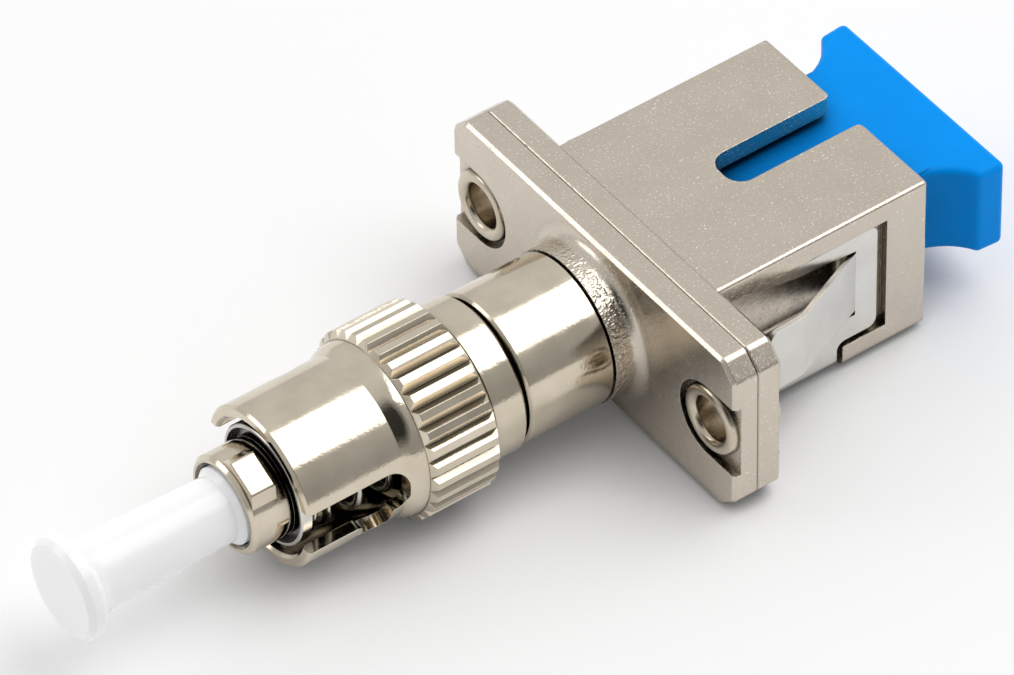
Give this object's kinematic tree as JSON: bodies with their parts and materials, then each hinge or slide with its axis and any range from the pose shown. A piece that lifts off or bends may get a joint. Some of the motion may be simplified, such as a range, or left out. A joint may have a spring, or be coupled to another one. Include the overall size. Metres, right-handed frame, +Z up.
{
  "type": "power meter fibre adapter",
  "caption": "Hybrid fibre adapter: bayonet plug with knurled coupling nut, flanged cast body and rectangular push-pull port, with its dust cap and dust plug.",
  "frame": {"origin": "on the optical axis, in the seam plane between the two flange plates, midway between the two flange holes", "axes": "+X along the optical axis out of the rectangular port, -X out of the bayonet plug, +Y along the flange away from the near ear, +Z up through the port's key slot"},
  "size_m": [0.0512, 0.0226, 0.01],
  "materials": {
    "cast_nickel": "nickel plate on a zinc casting, satin with a fine bead texture",
    "bright_nickel": "polished nickel plate on turned brass",
    "rivet_nickel": "bright nickel plate",
    "spring_steel": "satin stainless",
    "ceramic": "polished white ceramic",
    "fibre_coating": "smooth",
    "insert_plastic": "smooth moulded",
    "clear_cap": "soft milky translucent moulding",
    "blue_plug": "smooth satin moulding"
  },
  "bodies": {
    "adapter_body": {"receptacle_housing": "cast_nickel", "front_flange": "cast_nickel", "rivet_near": "rivet_nickel", "rivet_far": "rivet_nickel", "panel_clip": "spring_steel", "barrel": "bright_nickel", "plug_body": "bright_nickel", "front_ferrule": "ceramic", "ferrule_holder": "rivet_nickel", "fibre_buffer": "fibre_coating", "rear_ferrule": "ceramic", "stub_holder": "rivet_nickel", "split_sleeve": "ceramic", "sleeve_retainer": "rivet_nickel", "sc_insert": "insert_plastic", "coupling_spring": "spring_steel"},
    "front_ring": {"spring_ring": "spring_steel"},
    "nut_carrier": {"thrust_washer": "spring_steel"},
    "nut": {"coupling_nut": "bright_nickel"},
    "cap": {"ferrule_cap": "clear_cap"},
    "dust_plug": {"sc_dust_plug": "blue_plug"}
  },
  "joints": [
    {"name": "ring_push", "type": "slide", "parent": "adapter_body", "child": "front_ring", "axis": [1, 0, 0], "range_m": [0, 0.0045], "stiffness_N_per_m": 1500, "springref_m": -0.002, "deforming": ["coupling_spring"]},
    {"name": "nut_pull", "type": "slide", "parent": "adapter_body", "child": "nut_carrier", "axis": [-1, 0, 0], "range_m": [0, 0.0015], "stiffness_N_per_m": 1500, "springref_m": -0.002, "deforming": ["coupling_spring"]},
    {"name": "nut_turn", "type": "hinge", "parent": "nut_carrier", "child": "nut", "pos_m": [-0.012, 0, 0], "axis": [1, 0, 0], "continuous": true},
    {"name": "cap_pull", "type": "slide", "parent": "adapter_body", "child": "cap", "axis": [-1, 0, 0], "range_m": [0, 0.012]},
    {"name": "dust_plug_pull", "type": "slide", "parent": "adapter_body", "child": "dust_plug", "axis": [1, 0, 0], "range_m": [0, 0.016]}
  ]
}
